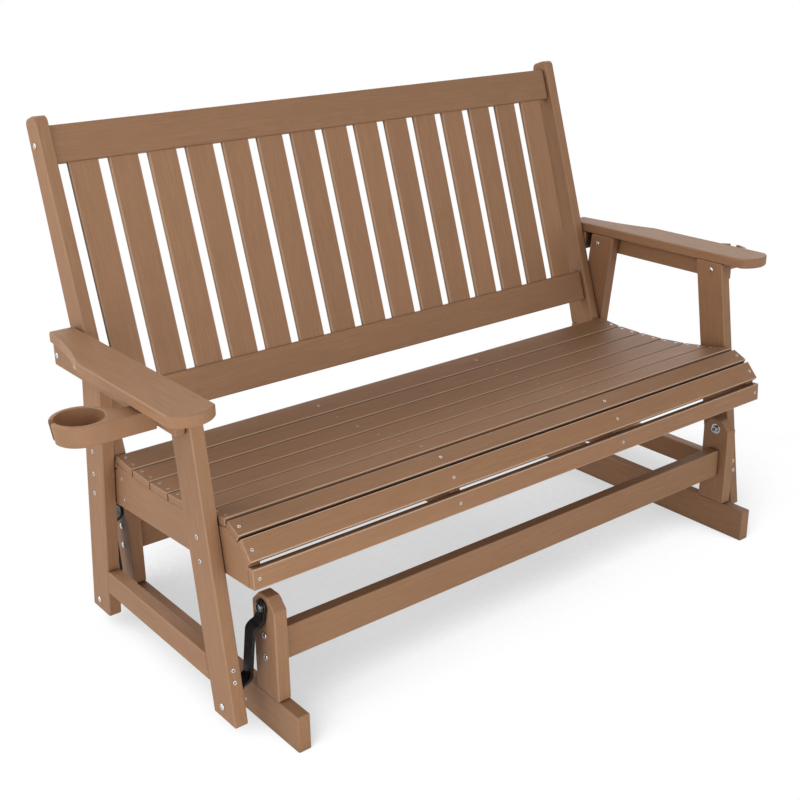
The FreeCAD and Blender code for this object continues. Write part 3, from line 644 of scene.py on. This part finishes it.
def pivot_bolts(level):
    """Four bolts in detail, in place of the node that holds them, and their washers and nuts."""
    pivot = PIVOTS[level]
    bolts, nuts = bmesh.new(), bmesh.new()
    node = "pivot_bolts_" + level
    length = (pivot["head_x"] - pivot["nut_x"]) * MM
    for sign in SIDES.values():
        out = Vector((sign, 0, 0))
        for y, z in pivot["axes"]:
            head = millimetres(sign * pivot["head_x"], y, z)
            inner = millimetres(sign * pivot["nut_x"], y, z)
            end = -WASHER_THICK - NUT_HEIGHT - THREAD_END
            ring_stack(bolts, [(SHANK * 0.85, end, 0), (SHANK, end + 0.7 * MM, 0),
                               (SHANK, length + 0.1 * MM, 0)], inner, out)
            seat = 0
            if level == "upper":
                ring_stack(bolts, washer(WASHER, SHANK, WASHER_THICK), head, out)
                seat = WASHER_THICK
            ring_stack(bolts, pivot["head"], head + out * seat, out)
            ring_stack(nuts, washer(WASHER, SHANK, WASHER_THICK), inner - out * WASHER_THICK, out)
            ring_stack(nuts, [(NUT_CORNER * 0.93, 0, 0), (NUT_CORNER, NUT_CHAMFER, 0),
                              (NUT_CORNER, NUT_HEIGHT - NUT_CHAMFER, 0),
                              (NUT_CORNER * 0.93, NUT_HEIGHT, 0)],
                       inner - out * (WASHER_THICK + NUT_HEIGHT), out,
                       chance.uniform(0, math.pi), sides=6)
    body = body_of(node)
    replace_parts(place(mesh_of(bolts, node), node + "_turned", pivot["look"], body, "bolt"), node)
    place(mesh_of(nuts, node + "_nuts"), node + "_nuts", pivot["nut_look"], body, "bolt")


# Cup holders, in millimetres about the cup's axis: x away from the seat, y towards the rear.
# Radii of the bowl's foot and rim and of its well, and the floor's thickness
CUP_X, CUP_Y = 775.5, -92.68
CUP_BASE, CUP_RIM, CUP_WELL = 41.6, 46.8, 38.5
CUP_FLOOR = 3.0
# Sides and inner end of the slit, face of the arm rail, and middle of the neck's hollow
SLIT_FRONT, SLIT_REAR, SLIT_START = 0.0, 18.0, 28.5
ROOT_X = -105.5
HOLLOW = Vector((-79.0, 32.0))
# Rounded edges of the well, the outside and the foot, and of the slit with its least angle
INNER_ROUND, OUTER_ROUND, FOOT_ROUND = 1.8, 3.6, 3.2
SLIT_ROUND, SLIT_ANGLE = 0.8 * MM, 50
# Steps round the bowl's rear, the hollow, the root, the tongue's front and the bowl's front
BOWL_STEPS, HOLLOW_STEPS, ROOT_STEPS, TONGUE_STEPS, FRONT_STEPS = 28, 16, 6, 10, 20
# Row of a section's points at the well's edge on the top face; the next one is at the outside's edge
TOP_ROW = 7


def cup_columns():
    """Sections of the cup holder from the slit's rear side round to its front side.

    Each is a pair of functions of a radius, which give a point of the outside and of the inside. The
    tongue's sides follow the bowl's radius, so taper and rounded edges run round the whole moulding.
    The second result numbers the sections that bound the tongue.
    """
    def flat(y):
        return lambda radius: Vector((math.sqrt(radius ** 2 - y ** 2), y))

    def turned(angle):
        return lambda radius: Vector((math.cos(angle), math.sin(angle))) * radius

    def hollow(share):
        def outline(radius):
            reach = HOLLOW.length - radius
            angle = start + (-math.acos((ROOT_X - HOLLOW.x) / reach) - start) * share
            return HOLLOW + Vector((math.cos(angle), math.sin(angle))) * reach
        return outline

    def rear_root(radius):
        return HOLLOW.y - math.sqrt((HOLLOW.length - radius) ** 2 - (ROOT_X - HOLLOW.x) ** 2)

    def root(share):
        return lambda radius: Vector((ROOT_X, rear_root(radius) * (1 - share) - radius * share))

    def front(share):
        return lambda radius: Vector((ROOT_X * (1 - share), -radius))

    neck = math.atan2(HOLLOW.y, HOLLOW.x)
    slit = math.asin(SLIT_REAR / CUP_RIM)
    start = neck - math.pi
    bowl = [flat(SLIT_REAR)]
    bowl += [turned(slit + (neck - slit) * step / BOWL_STEPS) for step in range(1, BOWL_STEPS + 1)]
    tongue = [hollow(step / HOLLOW_STEPS) for step in range(1, HOLLOW_STEPS)]
    tongue += [root(step / ROOT_STEPS) for step in range(ROOT_STEPS + 1)]
    tongue += [front(step / TONGUE_STEPS) for step in range(1, TONGUE_STEPS)]
    rest = [turned(math.pi * (1.5 + 0.5 * step / FRONT_STEPS)) for step in range(FRONT_STEPS)]
    rest.append(flat(SLIT_FRONT))
    share = (1.5 * math.pi - neck) / (len(tongue) + 1)
    rays = [turned(neck + share * number) for number in range(1, len(tongue) + 1)]
    columns = list(zip(bowl, bowl)) + list(zip(tongue, rays)) + list(zip(rest, rest))
    return columns, range(len(bowl) - 1, len(bowl) + len(tongue) + 1)


def quarter(radius, steps=4):
    """Quarter round as pairs of inwards and along, from the face to the wall."""
    angles = [math.pi / 2 * step / steps for step in range(steps + 1)]
    return [(radius * (1 - math.sin(angle)), radius * (1 - math.cos(angle))) for angle in angles]


def cup_holder(side):
    """Moulded cup holder: one skin of sections round the cup's axis, slit through wall and floor."""
    low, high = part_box("cup_holder_" + side)
    height = (high.z - low.z) / MM
    centre = Vector((SIDES[side] * CUP_X * MM, CUP_Y * MM, low.z))
    shape = bmesh.new()

    def spot(where, z):
        return shape.verts.new(centre + Vector((SIDES[side] * where[0], where[1], z)) * MM)

    def taper(z):
        return CUP_BASE + (CUP_RIM - CUP_BASE) * z / height

    columns = []
    outlines, tongue = cup_columns()
    for outside, inside in outlines:
        column = [spot(inside(CUP_WELL - 2.0), CUP_FLOOR), spot(inside(CUP_WELL - 0.6), CUP_FLOOR + 0.6),
                  spot(inside(CUP_WELL), CUP_FLOOR + 2.0)]
        for inwards, down in reversed(quarter(INNER_ROUND)):
            column.append(spot(inside(CUP_WELL + inwards), height - down))
        for inwards, down in quarter(OUTER_ROUND):
            column.append(spot(outside(taper(height - down) - inwards), height - down))
        for inwards, up in reversed(quarter(FOOT_ROUND)):
            column.append(spot(outside(taper(up) - inwards), up))
        columns.append(column)
    for gap, (first, second) in enumerate(zip(columns, columns[1:])):
        for number in range(len(first) - 1):
            if number != TOP_ROW or gap not in tongue[:-1]:
                shape.faces.new((first[number], first[number + 1], second[number + 1], second[number]))
    shape.faces.new([columns[number][TOP_ROW] for number in tongue]
                    + [columns[number][TOP_ROW + 1] for number in reversed(tongue)])
    notch = [[spot((SLIT_START, y), z) for z in (0, CUP_FLOOR)] for y in (SLIT_FRONT, SLIT_REAR)]
    for corner, column in zip(notch, (columns[-1], columns[0])):
        shape.faces.new(column + corner)
    shape.faces.new((notch[0][0], notch[1][0], notch[1][1], notch[0][1]))
    shape.faces.new([column[0] for column in columns] + [corner[1] for corner in notch])
    shape.faces.new([column[-1] for column in columns] + [corner[0] for corner in notch])
    bmesh.ops.recalc_face_normals(shape, faces=shape.faces)
    round_edges(shape, SLIT_ROUND, SLIT_ANGLE)
    node = "cup_holder_" + side
    mesh = mesh_of(shape, node)
    mark_edges(mesh, CUP_EDGE, CUP_EDGE_SHARE)
    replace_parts(place(mesh, node + "_moulding", "moulding", "seat", "moulding"), node)


# Light, floor and background

def add_material_switch(nodes, unseen, seen, output):
    """Use one shader for the light that falls on things and another for what camera and gloss see."""
    light = nodes.add("ShaderNodeLightPath").outputs
    shown = nodes.math("MAXIMUM", light["Is Camera Ray"], light["Is Glossy Ray"])
    shown = nodes.math("MAXIMUM", shown, light["Is Transmission Ray"])
    choice = nodes.add("ShaderNodeMixShader", {0: shown, 1: unseen.outputs[0], 2: seen.outputs[0]})
    nodes.finish(output, choice)


def add_floor():
    """Plain pale floor, white in the open and grey where the object shades it."""
    shape = bmesh.new()
    bmesh.ops.create_circle(shape, cap_ends=True, segments=96, radius=FLOOR_RADIUS)
    mesh = bpy.data.meshes.new("floor")
    shape.to_mesh(mesh)
    shape.free()
    floor = bpy.data.objects.new("floor", mesh)
    floor.location.z = -FLOOR_DROP
    bpy.context.scene.collection.objects.link(floor)
    made, nodes = material("pale_floor")
    pale = nodes.add("ShaderNodeBsdfDiffuse", {"Color": tone((0.8, 0.8, 0.8))})
    way = nodes.add("ShaderNodeCombineXYZ", dict(enumerate(SHADE_WAY))).outputs["Vector"]
    open_share = nodes.add("ShaderNodeAmbientOcclusion", {"Distance": SHADE_REACH, "Normal": way},
                           samples=16).outputs["AO"]
    seen = nodes.add("ShaderNodeEmission", {
        "Color": tone((1, 1, 1)), "Strength": nodes.ramp(open_share, *SHADE_RANGE, *SHADE_TONES)})
    add_material_switch(nodes, pale, seen, "ShaderNodeOutputMaterial")
    mesh.materials.append(made)


def add_world():
    world = bpy.data.worlds.new("World")
    bpy.context.scene.world = world
    world.use_nodes = True
    nodes = Nodes(world.node_tree)
    light = nodes.add("ShaderNodeBackground", {"Color": tone((1, 1, 1)), "Strength": WORLD_LIGHT})
    white = nodes.add("ShaderNodeBackground", {"Color": tone((1, 1, 1)), "Strength": 1.0})
    add_material_switch(nodes, light, white, "ShaderNodeOutputWorld")


def add_lamp(name, kind, where, way, strength):
    data = bpy.data.lights.new(name, kind)
    data.energy = strength
    lamp = bpy.data.objects.new(name, data)
    lamp.location = where
    lamp.rotation_euler = Vector(way).to_track_quat("-Z", "Y").to_euler()
    lamp.visible_camera = False
    bpy.context.scene.collection.objects.link(lamp)
    return data


def add_lamps():
    for name, where, breadth, strength in SUNS:
        add_lamp(name, "SUN", where, -Vector(where), strength).angle = math.radians(breadth)
    for name, where, breadth, power, aim in SOFT_BOXES:
        box = add_lamp(name, "AREA", where, Vector(aim) - Vector(where), power)
        box.shape = "DISK"
        box.size = breadth


bpy.context.scene.view_settings.view_transform = "Standard"
add_camera()
add_world()
add_floor()
add_lamps()

looks = {
    "board": board_material(),
    "moulding": moulding_material(),
    "link": black_material(),
    "bolt": metal_material(
        "zinc_plated_steel", (0.42, 0.42, 0.43), (0.66, 0.66, 0.65), 0.20, 0.34),
    "dark_bolt": metal_material(
        "blackened_steel", (0.08, 0.08, 0.082), (0.16, 0.16, 0.16), 0.10, 0.20),
}

for part in frame["record"]["subparts"]:
    if part["material_slot"] == "board":
        dress_board(part["node"])
    elif part["material_slot"] == "link":
        dress_link(part["node"])
for level in PIVOTS:
    pivot_bolts(level)
for side in SIDES:
    cup_holder(side)
hardware()
